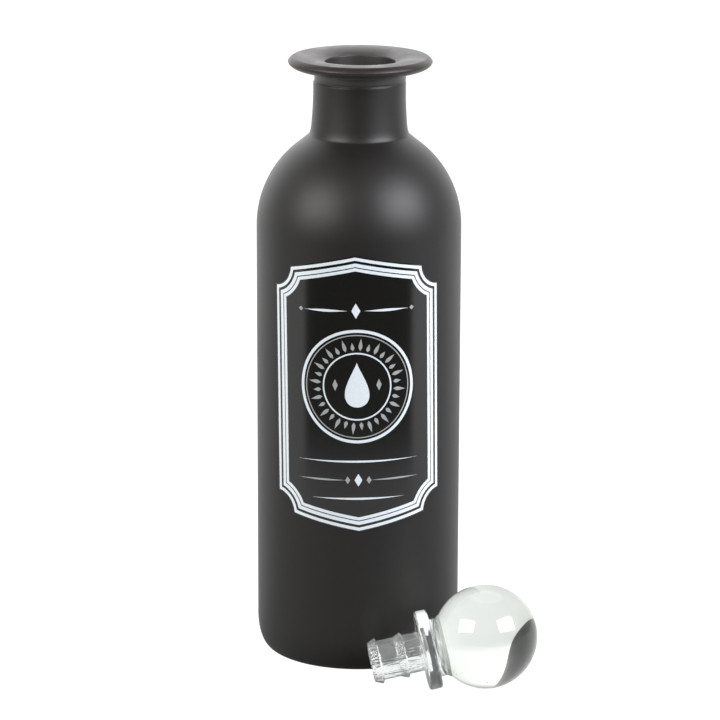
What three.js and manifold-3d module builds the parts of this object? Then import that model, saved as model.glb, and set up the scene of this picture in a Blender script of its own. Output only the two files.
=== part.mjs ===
// A round black glass bottle with a flared lip and a plaque-shaped label, and its ball stopper,
// which has been taken out and lies on the table in front of the bottle.
// Millimetres, +Z up. The origin is on the bottle's axis, on the surface that it stands on.
// The label faces -Y.

import * as THREE from "three";
import { mergeVertices } from "three/addons/utils/BufferGeometryUtils.js";
import Module from "manifold-3d";

const wasm = await Module();
wasm.setup();

// Bottle, outside
const BOTTLE_HEIGHT = 207;
const BODY_DIAMETER = 69.65;
const SHOULDER_START = 149;
const SHOULDER_RADIUS = 35.25;
const HEEL_WIDTH = 4.2;
const HEEL_HEIGHT = 10.7;
const STANDING_RING_WIDTH = 5;
const PUSH_UP_DEPTH = 0.8;
const PUSH_UP_SLOPE_WIDTH = 3;

// Neck and lip
const NECK_DIAMETER = 31.15;
const NECK_FLARE_BELOW_TOP = 11;
const NECK_FLARE_RADIUS = 135;
const NECK_FOOT_FILLET = 5;
const MOULD_STEP_BELOW_TOP = 8.7;
const MOULD_STEP_DEPTH = 0.25;
const MOULD_STEP_SLOPE = 0.5;
const LIP_DIAMETER = 48.6;
const LIP_THICKNESS = 4.6;
const LIP_EDGE_BELOW_TOP = 1.55;
const LIP_FACE_WIDTH = 2.1;
const LIP_FACE_RADIUS = 3.2;
const LIP_UNDER_ROUND_WIDTH = 6.5;
const LIP_UNDER_FILLET = 1.4;
const DISH_DIAMETER = 39;
const DISH_DEPTH = 1.7;

// Bottle, inside
const MOUTH_DIAMETER = 23.7;
const BODY_WALL = 3.2;
const BASE_HEIGHT_INSIDE = 6.2;
const INNER_HEEL_RADIUS = 8;
const INNER_FOOT_FILLET = 6;

// Label
const LABEL_WIDTH = 61.6;
const LABEL_HEIGHT = 95.4;
const LABEL_CENTRE_HEIGHT = 98.1;
const LABEL_APEX_RISE = 4.8;
const LABEL_SCOOP_RADIUS = 6.9;
const LABEL_THICKNESS = 0.25;
const LABEL_GLUE_GAP = 0.15;
const LABEL_TILT_DEG = 1;
const LABEL_TURN_DEG = -0.7;

// Stopper
const BALL_DIAMETER = 35;
const ADHESIVE_THICKNESS = 0.5;
const SEAT_GAP = 0.15;
const SHANK_DIAMETER = 13.3;
const SHANK_LENGTH = 17.45;
const SHANK_WALL = 1.6;
const SEAT_FLOOR = 1.6;
const BARB_DIAMETER = 15.7;
const BARB_SLOPE_LENGTH = 2.7;
const BARB_BACK_LENGTH = 0.6;
const BARB_SPACING = 8.8;
const FLANGE_OVERLAP = 1.6;
const FLANGE_THICKNESS = 4.4;
const FLANGE_EDGE_RADIUS = 0.8;
const COLLAR_DIAMETER = 19.6;
const COLLAR_LENGTH = 2.25;

// Where the stopper lies
const STOPPER_BALL_X = 43;
const STOPPER_BALL_FROM_BODY = 12.175;
const STOPPER_YAW_DEG = 6;

// Facets
const BOTTLE_SIDES = 60;
const STOPPER_SIDES = 40;

// Points nearer than these are one point
const SAME_PROFILE_POINT = 1e-6;
const SAME_CORNER = 1e-4;

const BODY_RADIUS = BODY_DIAMETER / 2;
const MOUTH_RADIUS = MOUTH_DIAMETER / 2;
const BALL_RADIUS = BALL_DIAMETER / 2;
const SHOULDER_OFFSET = BODY_RADIUS - SHOULDER_RADIUS;
const UP = new THREE.Vector3(0, 0, 1);

// A point of a turned profile: its distance from the axis and its height.
function at(radius, height) {
  return new THREE.Vector2(radius, height);
}

// An elliptical arc of a profile, from one angle to another, in that many steps.
function arc(centre, radiusAcross, radiusUp, from, to, steps) {
  const clockwise = to < from;
  const curve = new THREE.EllipseCurve(
    centre.x, centre.y, radiusAcross, radiusUp, from, to, clockwise,
  );
  return curve.getPoints(steps);
}

// The angle at which one point is seen from another.
function bearing(from, to) {
  return Math.atan2(to.y - from.y, to.x - from.x);
}

// Where two circles cross, on the left of the way from the first centre to the second.
function circlesCross(centreA, radiusA, centreB, radiusB) {
  const way = centreB.clone().sub(centreA);
  const apart = way.length();
  const along = (apart ** 2 + radiusA ** 2 - radiusB ** 2) / (2 * apart);
  const aside = Math.sqrt(radiusA ** 2 - along ** 2);
  const unit = way.divideScalar(apart);
  const left = new THREE.Vector2(-unit.y, unit.x);
  return centreA.clone().addScaledVector(unit, along).addScaledVector(left, aside);
}

// Turns a profile about the Z axis.
function turned(profile, sides) {
  const distinct = profile.filter(
    (point, i) => i === 0 || point.distanceTo(profile[i - 1]) > SAME_PROFILE_POINT,
  );
  return new THREE.LatheGeometry(distinct, sides).rotateX(Math.PI / 2);
}

// A closed geometry as a solid that can be cut.
function solidOf(geometry) {
  const bare = geometry.clone();
  bare.deleteAttribute("normal");
  bare.deleteAttribute("uv");
  const merged = mergeVertices(bare, SAME_CORNER);
  const mesh = new wasm.Mesh({
    numProp: 3,
    vertProperties: new Float32Array(merged.attributes.position.array),
    triVerts: new Uint32Array(merged.index.array),
  });
  return new wasm.Manifold(mesh);
}

// A solid back as a geometry that can be drawn.
function geometryOf(solid) {
  const mesh = solid.getMesh();
  const geometry = new THREE.BufferGeometry();
  geometry.setAttribute("position", new THREE.BufferAttribute(mesh.vertProperties, 3));
  geometry.setIndex(new THREE.BufferAttribute(mesh.triVerts, 1));
  geometry.computeVertexNormals();
  return geometry;
}

function named(name, geometry, material) {
  const mesh = new THREE.Mesh(geometry, material);
  mesh.name = name;
  return mesh;
}

// Outside of the glass, from the middle of the base up to the step below the lip.
function bottleSide() {
  const ringOuter = BODY_RADIUS - HEEL_WIDTH;
  const ringInner = ringOuter - STANDING_RING_WIDTH;
  const neckRadius = NECK_DIAMETER / 2;
  const heelCentre = at(ringOuter, HEEL_HEIGHT);
  const dome = at(SHOULDER_OFFSET, SHOULDER_START);
  const flare = at(neckRadius + NECK_FLARE_RADIUS, BOTTLE_HEIGHT - NECK_FLARE_BELOW_TOP);
  const step = BOTTLE_HEIGHT - MOULD_STEP_BELOW_TOP;
  const foot = circlesCross(
    dome, SHOULDER_RADIUS + NECK_FOOT_FILLET,
    flare, NECK_FLARE_RADIUS - NECK_FOOT_FILLET,
  );
  const footOnDome = bearing(dome, foot);
  const footOnFlare = bearing(foot, flare) + Math.PI;
  return [
    at(0, PUSH_UP_DEPTH),
    at(ringInner - PUSH_UP_SLOPE_WIDTH, PUSH_UP_DEPTH),
    at(ringInner, 0),
    ...arc(heelCentre, HEEL_WIDTH, HEEL_HEIGHT, -Math.PI / 2, 0, 6),
    ...arc(dome, SHOULDER_RADIUS, SHOULDER_RADIUS, 0, footOnDome, 12),
    ...arc(foot, NECK_FOOT_FILLET, NECK_FOOT_FILLET, footOnDome + Math.PI, footOnFlare, 4),
    ...arc(flare, NECK_FLARE_RADIUS, NECK_FLARE_RADIUS, footOnFlare, Math.PI, 3),
    at(neckRadius, step),
    at(neckRadius - MOULD_STEP_DEPTH, step + MOULD_STEP_SLOPE),
  ];
}

// The lip: a fillet under it, an underside that curves up to its widest point, a sloping face
// that bulges a little, a flat rim, and a dished top that leads into the mouth.
function bottleLip() {
  const neckRadius = NECK_DIAMETER / 2 - MOULD_STEP_DEPTH;
  const lipRadius = LIP_DIAMETER / 2;
  const underside = BOTTLE_HEIGHT - LIP_THICKNESS;
  const edge = BOTTLE_HEIGHT - LIP_EDGE_BELOW_TOP;
  const filletCentre = at(neckRadius + LIP_UNDER_FILLET, underside - LIP_UNDER_FILLET);
  const underCentre = at(lipRadius - LIP_UNDER_ROUND_WIDTH, edge);
  const faceLow = at(lipRadius, edge);
  const faceHigh = at(lipRadius - LIP_FACE_WIDTH, BOTTLE_HEIGHT);
  const face = circlesCross(faceLow, LIP_FACE_RADIUS, faceHigh, LIP_FACE_RADIUS);
  const faceFrom = bearing(face, faceLow);
  const faceTo = bearing(face, faceHigh);
  const dishRadius = DISH_DIAMETER / 2;
  const dishRun = dishRadius - MOUTH_RADIUS;
  const dishCurve = (dishRun ** 2 + DISH_DEPTH ** 2) / (2 * DISH_DEPTH);
  const dishCentre = at(dishRadius, BOTTLE_HEIGHT - dishCurve);
  const mouthEdge = at(MOUTH_RADIUS, BOTTLE_HEIGHT - DISH_DEPTH);
  return [
    ...arc(filletCentre, LIP_UNDER_FILLET, LIP_UNDER_FILLET, Math.PI, Math.PI / 2, 3),
    ...arc(underCentre, LIP_UNDER_ROUND_WIDTH, edge - underside, -Math.PI / 2, 0, 6),
    ...arc(face, LIP_FACE_RADIUS, LIP_FACE_RADIUS, faceFrom, faceTo, 4),
    ...arc(dishCentre, dishCurve, dishCurve, Math.PI / 2, bearing(dishCentre, mouthEdge), 4),
  ];
}

// Inside of the glass, from the mouth down to the middle of the floor.
function bottleInside() {
  const radius = BODY_RADIUS - BODY_WALL;
  const domeRadius = SHOULDER_RADIUS - BODY_WALL;
  const dome = at(SHOULDER_OFFSET, SHOULDER_START);
  const reach = domeRadius + INNER_FOOT_FILLET;
  const footRadius = MOUTH_RADIUS + INNER_FOOT_FILLET;
  const footRise = Math.sqrt(reach ** 2 - (footRadius - SHOULDER_OFFSET) ** 2);
  const foot = at(footRadius, SHOULDER_START + footRise);
  const footOnDome = bearing(dome, foot);
  const heel = at(radius - INNER_HEEL_RADIUS, BASE_HEIGHT_INSIDE + INNER_HEEL_RADIUS);
  return [
    ...arc(foot, INNER_FOOT_FILLET, INNER_FOOT_FILLET, Math.PI, footOnDome + Math.PI, 4),
    ...arc(dome, domeRadius, domeRadius, footOnDome, 0, 8),
    ...arc(heel, INNER_HEEL_RADIUS, INNER_HEEL_RADIUS, 0, -Math.PI / 2, 4),
    at(0, BASE_HEIGHT_INSIDE),
  ];
}

function bottle() {
  const profile = [...bottleSide(), ...bottleLip(), ...bottleInside()];
  const glass = new THREE.MeshStandardMaterial({
    color: 0x242424,
    roughness: 0.5,
    metalness: 0,
  });
  return named("bottle", turned(profile, BOTTLE_SIDES), glass);
}

// The label's cut outline, flat, about its own centre: pointed top and bottom, scooped corners.
function labelOutline() {
  const halfWidth = LABEL_WIDTH / 2;
  const shoulder = LABEL_HEIGHT / 2 - LABEL_APEX_RISE;
  const inset = halfWidth - LABEL_SCOOP_RADIUS;
  const slantSteps = 7;
  const slant = new THREE.LineCurve(at(0, LABEL_HEIGHT / 2), at(-inset, shoulder));
  const scoop = arc(
    at(-halfWidth, shoulder), LABEL_SCOOP_RADIUS, LABEL_SCOOP_RADIUS, 0, -Math.PI / 2, 5,
  );
  const topLeft = [...slant.getPoints(slantSteps).slice(0, -1), ...scoop];
  const bottomLeft = topLeft.map((p) => at(p.x, -p.y)).reverse();
  const left = [...topLeft, ...bottomLeft];
  const right = left.slice(1, -1).map((p) => at(-p.x, p.y)).reverse();
  return [...left, ...right];
}

// The label wrapped on the body: a thin ring of film, kept only inside the outline.
function frontLabel() {
  const inner = BODY_RADIUS + LABEL_GLUE_GAP;
  const outer = inner + LABEL_THICKNESS;
  const low = LABEL_CENTRE_HEIGHT - LABEL_HEIGHT;
  const high = LABEL_CENTRE_HEIGHT + LABEL_HEIGHT;
  const film = turned(
    [at(inner, low), at(outer, low), at(outer, high), at(inner, high), at(inner, low)],
    BOTTLE_SIDES,
  );
  const tilt = THREE.MathUtils.degToRad(LABEL_TILT_DEG);
  const turn = THREE.MathUtils.degToRad(LABEL_TURN_DEG);
  const seenFromFront = labelOutline().map((point) => {
    const flat = point.clone().rotateAround(at(0, 0), tilt);
    return at(outer * Math.sin(flat.x / outer + turn), LABEL_CENTRE_HEIGHT + flat.y);
  });
  const cutter = new THREE.ExtrudeGeometry(new THREE.Shape(seenFromFront), {
    depth: BODY_DIAMETER,
    bevelEnabled: false,
  }).rotateX(Math.PI / 2);
  const gloss = new THREE.MeshStandardMaterial({
    color: 0x0e0e10,
    roughness: 0.15,
    metalness: 0,
  });
  return named("front_label", geometryOf(solidOf(film).intersect(solidOf(cutter))), gloss);
}

// The stopper stands on its tip at height 0 here, as it goes into the mouth.
const SEAT_RADIUS = BALL_RADIUS + 2 * SEAT_GAP + ADHESIVE_THICKNESS;
const FLANGE_TOP = SHANK_LENGTH + FLANGE_THICKNESS;
const FLANGE_RADIUS = MOUTH_RADIUS + FLANGE_OVERLAP;
const COLLAR_RADIUS = COLLAR_DIAMETER / 2;
const COLLAR_TOP = FLANGE_TOP + COLLAR_LENGTH;
const BALL_HEIGHT = COLLAR_TOP + Math.sqrt(SEAT_RADIUS ** 2 - COLLAR_RADIUS ** 2);

// A barb that starts at this height: a slope for pushing in, a steep back that grips.
function barb(start) {
  const shank = SHANK_DIAMETER / 2;
  const peak = start + BARB_SLOPE_LENGTH;
  return [
    at(shank, start),
    at(BARB_DIAMETER / 2, peak),
    at(shank, peak + BARB_BACK_LENGTH),
  ];
}

function stopperPlug() {
  const shank = SHANK_DIAMETER / 2;
  const core = shank - SHANK_WALL;
  const edge = FLANGE_EDGE_RADIUS;
  const edgeRadius = FLANGE_RADIUS - edge;
  const ballCentre = at(0, BALL_HEIGHT);
  const coreEnd = BALL_HEIGHT - SEAT_RADIUS - SEAT_FLOOR;
  const collarRim = bearing(ballCentre, at(COLLAR_RADIUS, COLLAR_TOP));
  const profile = [
    at(0, coreEnd),
    at(core, coreEnd),
    at(core, 0),
    ...barb(0),
    ...barb(BARB_SPACING),
    at(shank, SHANK_LENGTH),
    ...arc(at(edgeRadius, SHANK_LENGTH + edge), edge, edge, -Math.PI / 2, 0, 3),
    ...arc(at(edgeRadius, FLANGE_TOP - edge), edge, edge, 0, Math.PI / 2, 3),
    at(COLLAR_RADIUS, FLANGE_TOP),
    ...arc(ballCentre, SEAT_RADIUS, SEAT_RADIUS, collarRim, -Math.PI / 2, 6),
  ];
  const clear = new THREE.MeshStandardMaterial({
    color: 0xe4ebe8,
    roughness: 0.12,
    metalness: 0,
  });
  return named("stopper_plug", turned(profile, STOPPER_SIDES), clear);
}

// The film under the ball, out to the collar's rim.
function ballAdhesive() {
  const ballCentre = at(0, BALL_HEIGHT);
  const inner = BALL_RADIUS + SEAT_GAP;
  const outer = inner + ADHESIVE_THICKNESS;
  const rim = -Math.acos(COLLAR_RADIUS / outer);
  const profile = [
    ...arc(ballCentre, outer, outer, -Math.PI / 2, rim, 6),
    ...arc(ballCentre, inner, inner, rim, -Math.PI / 2, 6),
  ];
  const paleGreen = new THREE.MeshStandardMaterial({
    color: 0xcfe2c8,
    roughness: 0.2,
    metalness: 0,
  });
  return named("ball_adhesive", turned(profile, STOPPER_SIDES), paleGreen);
}

function stopperBall() {
  const profile = arc(
    at(0, BALL_HEIGHT), BALL_RADIUS, BALL_RADIUS, -Math.PI / 2, Math.PI / 2, STOPPER_SIDES / 2,
  );
  const glass = new THREE.MeshStandardMaterial({
    color: 0xdfe8df,
    roughness: 0.03,
    metalness: 0,
  });
  return named("stopper_ball", turned(profile, STOPPER_SIDES), glass);
}

// How far the axis rises to the ball when the ball and the flange's lower edge both lie on the table.
function lyingPitch() {
  const edgeRadius = FLANGE_RADIUS - FLANGE_EDGE_RADIUS;
  const edgeToBall = BALL_HEIGHT - SHANK_LENGTH - FLANGE_EDGE_RADIUS;
  const reach = Math.hypot(edgeRadius, edgeToBall);
  const rise = BALL_RADIUS - FLANGE_EDGE_RADIUS;
  return Math.atan2(edgeToBall, edgeRadius) - Math.acos(rise / reach);
}

// The stopper lying on the table: the group's own origin is the ball's centre.
function stopper() {
  const yaw = THREE.MathUtils.degToRad(STOPPER_YAW_DEG);
  const pitch = lyingPitch();
  const towardsBall = new THREE.Vector3(
    Math.cos(pitch) * Math.cos(yaw),
    Math.cos(pitch) * Math.sin(yaw),
    Math.sin(pitch),
  );
  const group = new THREE.Group();
  for (const piece of [stopperPlug(), ballAdhesive(), stopperBall()]) {
    piece.position.z = -BALL_HEIGHT;
    group.add(piece);
  }
  group.quaternion.setFromUnitVectors(UP, towardsBall);
  const inFront = BODY_RADIUS + STOPPER_BALL_FROM_BODY;
  group.position.set(STOPPER_BALL_X, -inFront, BALL_RADIUS);
  return group;
}

const part = new THREE.Group();
part.add(bottle(), frontLabel(), stopper());

export default part;
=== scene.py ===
# %% [markdown]
# A potion bottle and its stopper, dressed in Blender
#
# The bottle is a blown glass bottle with a satin black coat. A gloss black label is stuck on its front,
# and its clear ball stopper has been pulled out and lies on the table.
# The sizes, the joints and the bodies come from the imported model, which is loaded first as a fixed frame.
# Every piece made here is a finer surface in the same place, so nothing has to be fitted afterwards.

# %% Load the frame
import math

import bpy
import numpy as np
from mathutils import Matrix, Quaternion, Vector


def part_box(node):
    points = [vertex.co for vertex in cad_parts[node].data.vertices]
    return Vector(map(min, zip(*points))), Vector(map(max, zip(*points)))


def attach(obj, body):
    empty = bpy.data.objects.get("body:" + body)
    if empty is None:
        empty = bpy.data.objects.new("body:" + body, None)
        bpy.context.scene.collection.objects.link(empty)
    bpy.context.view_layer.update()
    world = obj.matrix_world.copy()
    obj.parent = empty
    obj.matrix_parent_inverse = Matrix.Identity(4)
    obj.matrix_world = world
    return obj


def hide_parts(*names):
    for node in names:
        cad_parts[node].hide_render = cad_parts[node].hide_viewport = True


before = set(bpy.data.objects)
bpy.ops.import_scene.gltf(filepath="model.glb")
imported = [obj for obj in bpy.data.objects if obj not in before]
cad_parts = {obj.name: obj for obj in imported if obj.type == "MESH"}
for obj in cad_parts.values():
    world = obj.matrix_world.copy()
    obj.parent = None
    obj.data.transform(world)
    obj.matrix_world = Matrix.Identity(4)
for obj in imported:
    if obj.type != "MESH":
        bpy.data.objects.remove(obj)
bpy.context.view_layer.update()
MM = 0.001

bottle_low, bottle_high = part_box("bottle")
BODY_RADIUS = (bottle_high.x - bottle_low.x) / 2
BOTTLE_HEIGHT = bottle_high.z
print("bottle", round(BOTTLE_HEIGHT / MM, 1), "mm tall, radius", round(BODY_RADIUS / MM, 2), "mm")

# %% [markdown]
# The camera
#
# A camera can be placed by eye, or worked out from the outline of the object in a photograph.
# Here the second way was used: a long lens stands about 1.2 m away and looks down by 14 degrees.
# A long lens keeps the bottle's sides almost parallel, as product photographs do.

# %% Camera
CAMERA_PLACE = np.array([0.495, -1183.98, 405.96]) * MM
CAMERA_PITCH = math.radians(14.429)
CAMERA_ROLL = 0.00295
CAMERA_LENS = 177.95
SENSOR_WIDTH = 36.0

camera = bpy.data.objects.new("camera", bpy.data.cameras.new("camera"))
camera.data.lens = CAMERA_LENS
camera.data.sensor_width = SENSOR_WIDTH
camera.data.clip_start = 0.05
camera.data.clip_end = 20.0
look_down = Matrix.Rotation(math.pi / 2 - CAMERA_PITCH, 4, "X")
camera.matrix_world = Matrix.Translation(CAMERA_PLACE) @ look_down @ Matrix.Rotation(CAMERA_ROLL, 4, "Z")
bpy.context.scene.collection.objects.link(camera)
bpy.context.scene.camera = camera
bpy.context.scene.view_settings.view_transform = "Standard"
print("camera", round(camera.location.length, 3), "m from the bottle's foot")

# %% [markdown]
# Shader maths as Python
#
# A material is a graph of nodes, and building one node by node hides the idea behind it.
# This small class wraps one socket, so that a sum or a product in Python adds its Math node,
# and every other node is made by one method: its kind, then its settings, then its sockets.


# %% A socket that can be calculated with
class Wire:
    """One output socket of a node tree. Sums, differences, products and quotients add Math nodes."""

    def __init__(self, tree, socket=None):
        self.tree = tree
        self.socket = socket

    def node(self, kind, settings=None, sockets=None, out=0):
        """Adds a node, sets its settings, then gives its sockets their values or links."""
        made = self.tree.nodes.new(kind)
        for name, value in (settings or {}).items():
            setattr(made, name, value)
        for name, value in (sockets or {}).items():
            if isinstance(value, Wire):
                self.tree.links.new(value.socket, made.inputs[name])
            else:
                made.inputs[name].default_value = value
        return Wire(self.tree, made.outputs[out]) if made.outputs else made

    def math(self, operation, first, second):
        return self.node("ShaderNodeMath", {"operation": operation}, {0: first, 1: second})

    def __add__(self, other):
        return self.math("ADD", self, other)

    def __sub__(self, other):
        return self.math("SUBTRACT", self, other)

    def __rsub__(self, other):
        return self.math("SUBTRACT", other, self)

    def __mul__(self, other):
        return self.math("MULTIPLY", self, other)

    def __truediv__(self, other):
        return self.math("DIVIDE", self, other)

    __radd__ = __add__
    __rmul__ = __mul__

    def other(self, name):
        """Another output of the same node."""
        return Wire(self.tree, self.socket.node.outputs[name])

    def noise(self, where, scale, detail=2.0):
        """A cloudy value between about 0.2 and 0.8; scale is in clouds per metre."""
        return self.node("ShaderNodeTexNoise", None, {"Vector": where, "Scale": scale, "Detail": detail})

    def step(self, value, low, high):
        """0 below low, 1 above high, and a soft S between them."""
        return self.node("ShaderNodeMapRange", {"interpolation_type": "SMOOTHSTEP"},
                         {"Value": value, "From Min": low, "From Max": high})

    def blend(self, factor, first, second):
        """A colour between two colours."""
        return self.node("ShaderNodeMix", {"data_type": "RGBA"}, {0: factor, 6: first, 7: second}, out=2)

    def bump(self, height, distance, strength=1.0, normal=None):
        """Normals tilted as if the surface rose by height times distance."""
        sockets = {"Height": height, "Distance": distance, "Strength": strength}
        if normal is not None:
            sockets["Normal"] = normal
        return self.node("ShaderNodeBump", None, sockets)


def empty_graph(owner):
    """The Wire of a material's or a world's graph, which starts empty."""
    owner.use_nodes = True
    owner.node_tree.nodes.clear()
    return Wire(owner.node_tree)


def new_material(name):
    """A material with an empty graph: its Wire, the Object coordinates and a function that ends it."""
    material = bpy.data.materials.new(name)
    wire = empty_graph(material)
    place = wire.node("ShaderNodeTexCoord", out="Object")

    def finish(**sockets):
        shader = wire.node("ShaderNodeBsdfPrincipled", None,
                           {name.replace("_", " "): value for name, value in sockets.items()})
        wire.node("ShaderNodeOutputMaterial", None, {"Surface": shader})
        print("material", material.name, "with", len(wire.tree.nodes), "nodes")
        return material

    return wire, place, finish


# %% [markdown]
# The studio
#
# A black bottle is drawn by what it mirrors: a bright surround behind and beside it lights its edges, and
# a dark room in front, behind the camera, keeps its middle dark. Overhead is dark, but for the softboxes.
# Satin paint mirrors a blurred room and glass bends a sharp one, so each light has a pair of strengths:
# the first is for the satin surfaces, and the second is what is seen through glass.

# %% Rays
# Painted light: the room and the table look brighter through the hazy plug and glue, so these look
# brighter.
PAINTED_LIGHT_THROUGH_PLASTIC = 1.6


def glass_rays(ray):
    """1 for a ray that has gone through a clear piece or that polished glass mirrors sharply, else 0."""
    return ray.math("MAXIMUM", ray.other("Is Transmission Ray"), ray.other("Is Singular Ray"))


def painted_light_through_plastic(ray):
    """The gain for rays that went through the hazy plug and glue, else 1: painted light that brightens
    them.
    """
    hazy = ray.other("Is Transmission Ray") * (1.0 - ray.other("Is Singular Ray"))
    return 1.0 + hazy * (PAINTED_LIGHT_THROUGH_PLASTIC - 1.0)


def seen_by(glass_ray, mirrored, through_glass):
    """A light's strength for a ray that a satin surface mirrors, or for one that glass sees."""
    return mirrored + glass_ray * (through_glass - mirrored)


# %% [markdown]
# The table
#
# The table is part paint, which takes the light and keeps the shadow, and part glow, which makes it white.
# A stronger lamp would make it white too, but would put too much light on the bottle. So only the camera,
# reflections and glass see the glow. In reflections it is grey in front, darker at the bottle's foot and
# bright far back, as on a curved paper sweep that is lit from behind.
# Cycles can't sample a glow that depends on the ray as if it were a lamp, so that is switched off.
# The front edge is round and close, so the dark room shows in the label down to a straight line.

# %% Table
TABLE_REACH = 3.0
TABLE_FRONT_RADIUS = 0.29
TABLE_PAINT = 0.286
TABLE_GLOW = 0.9
TABLE_GLOW_FRONT = (0.1, 0.56)
TABLE_GLOW_SIDE = (0.2, 0.56)
TABLE_GLOW_BACK = (0.65, 0.76)
TABLE_GLOW_FAR_BACK = (1.4, 1.15)
TABLE_FAR = 1.0
TABLE_SIDE_START = -1.0
TABLE_SIDE_FULL = -math.cos(math.radians(70))
TABLE_BACK_START = (-math.cos(math.radians(75)), -math.cos(math.radians(108)))
TABLE_BACK_FULL = (-math.cos(math.radians(140)), -math.cos(math.radians(165)))
SHADE_AT_FOOT = 0.5
SHADE_START = 0.06
SHADE_END = 0.3
DARK_FRONT_HALF_ANGLE = math.radians(61)
FRONT_EDGE_POINTS = 49


def table_glow(wire):
    """The glow that camera rays see, and the one that reflections and glass see: dim in front, where the
    bottle's foot also shades it, brighter at the sides and white far back. Other rays see the paint alone,
    so the glow puts no light on the object. y / r runs from -1 in front to 1 behind."""
    glossy_ray = wire.node("ShaderNodeLightPath", out="Is Glossy Ray")
    glass_ray = glass_rays(glossy_ray)
    place = wire.node("ShaderNodeTexCoord", out="Object")
    away = wire.node("ShaderNodeVectorMath", {"operation": "LENGTH"}, {0: place}, out="Value")
    backward = wire.node("ShaderNodeSeparateXYZ", None, {0: place}, out="Y") / (away + 1e-6)
    clear = 1.0 - SHADE_AT_FOOT + wire.step(away, SHADE_START, SHADE_END) * SHADE_AT_FOOT
    seen = seen_by(glass_ray, TABLE_GLOW_FRONT[0] * clear, TABLE_GLOW_FRONT[1])
    side = seen_by(glass_ray, *TABLE_GLOW_SIDE)
    seen = seen + wire.step(backward, TABLE_SIDE_START, TABLE_SIDE_FULL) * (side - seen)
    back = seen_by(glass_ray, *TABLE_GLOW_BACK)
    far_back = seen_by(glass_ray, *TABLE_GLOW_FAR_BACK)
    back = back + wire.step(away, SHADE_END, TABLE_FAR) * (far_back - back)
    back_start = seen_by(glass_ray, *TABLE_BACK_START)
    back_full = seen_by(glass_ray, *TABLE_BACK_FULL)
    seen = seen + wire.step(backward, back_start, back_full) * (back - seen)
    # The glow seen through the hazy plug and glue is made brighter, as painted light.
    return glossy_ray.other("Is Camera Ray") * TABLE_GLOW + glossy_ray * seen * painted_light_through_plastic(glossy_ray)


turn = np.linspace(-DARK_FRONT_HALF_ANGLE, DARK_FRONT_HALF_ANGLE, FRONT_EDGE_POINTS)
front_edge = np.stack([np.sin(turn), -np.cos(turn), 0 * turn], axis=1) * TABLE_FRONT_RADIUS
to_the_reach = TABLE_REACH / TABLE_FRONT_RADIUS
far_corners = [front_edge[-1] * to_the_reach, (TABLE_REACH, TABLE_REACH, 0),
               (-TABLE_REACH, TABLE_REACH, 0), front_edge[0] * to_the_reach]
table_outline = np.concatenate([front_edge, far_corners])
table = bpy.data.objects.new("table", bpy.data.meshes.new("table"))
table.data.from_pydata(table_outline.tolist(), [], [list(range(len(table_outline)))])
bpy.context.scene.collection.objects.link(table)

table_white = bpy.data.materials.new("table_white")
table_white.cycles.emission_sampling = "NONE"
wire = empty_graph(table_white)
paint = wire.node("ShaderNodeBsdfDiffuse", None, {"Color": (TABLE_PAINT, TABLE_PAINT, TABLE_PAINT, 1)})
glow = wire.node("ShaderNodeEmission", None, {"Strength": table_glow(wire)})
both = wire.node("ShaderNodeAddShader", None, {0: paint, 1: glow})
wire.node("ShaderNodeOutputMaterial", None, {"Surface": both})
table.data.materials.append(table_white)
print("table ends", TABLE_FRONT_RADIUS, "m in front of the bottle's axis")

# %% [markdown]
# The surround
#
# The room could be a picture wrapped round the scene. A few steps on the way of a ray are enough here: dark
# within an angle of the front, brighter towards the back, a little dimmer on the right and dark overhead.
# The camera sees plain white.
# Two wide softboxes stand left and right of the camera, a little above it.

# %% Surround
DARK_FRONT_BLUR = math.radians(4)
DARK_FRONT_LIGHT = (0.095, 0.12)
HIGH_FRONT_LIGHT = (0.39, 0.56)
HIGH_FRONT_START = math.sin(math.radians(15))
HIGH_FRONT_FULL = math.sin(math.radians(35))
SIDE_LIGHT = (0.5, 0.6)
BACK_LIGHT = (2.1, 1.15)
BACK_START = -math.cos(math.radians(105))
BACK_FULL = -math.cos(math.radians(150))
RIGHT_DIMMER = 0.2
OVERHEAD_LIGHT = (0.105, 0.15)
HORIZON_TOP = math.sin(math.radians(38))
OVERHEAD_START = math.sin(math.radians(69))

world = bpy.data.worlds.new("surround")
bpy.context.scene.world = world
wire = empty_graph(world)
way = wire.node("ShaderNodeTexCoord", out="Generated")
way_x = wire.node("ShaderNodeSeparateXYZ", None, {0: way}, out="X")
way_y = way_x.other("Y")
upward = way_x.other("Z")
level = wire.math("SQRT", way_x * way_x + way_y * way_y + 1e-6, 0.0)
backward = way_y / level
front = wire.step(backward * -1.0, math.cos(DARK_FRONT_HALF_ANGLE + DARK_FRONT_BLUR),
                  math.cos(DARK_FRONT_HALF_ANGLE - DARK_FRONT_BLUR))
camera_ray = wire.node("ShaderNodeLightPath", out="Is Camera Ray")
glass_ray = glass_rays(camera_ray)
dark = seen_by(glass_ray, *DARK_FRONT_LIGHT)
high = seen_by(glass_ray, *HIGH_FRONT_LIGHT)
dark = dark + wire.step(upward, HIGH_FRONT_START, HIGH_FRONT_FULL) * (high - dark)
room = seen_by(glass_ray, *SIDE_LIGHT)
room = room + wire.step(backward, BACK_START, BACK_FULL) * (seen_by(glass_ray, *BACK_LIGHT) - room)
room = room * (1.0 - way_x / level * RIGHT_DIMMER)
room = room + front * (dark - room)
overhead = seen_by(glass_ray, *OVERHEAD_LIGHT)
room = room + wire.step(upward, HORIZON_TOP, OVERHEAD_START) * (overhead - room)
# Painted light: the room is made brighter as seen through the hazy plug and glue.
room = room * painted_light_through_plastic(camera_ray)
strength = room + camera_ray * (1.0 - room)
sky = wire.node("ShaderNodeBackground", None, {"Color": (1, 1, 1, 1), "Strength": strength})
wire.node("ShaderNodeOutputWorld", None, {"Surface": sky})
print("surround with", len(world.node_tree.nodes), "nodes")

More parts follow.
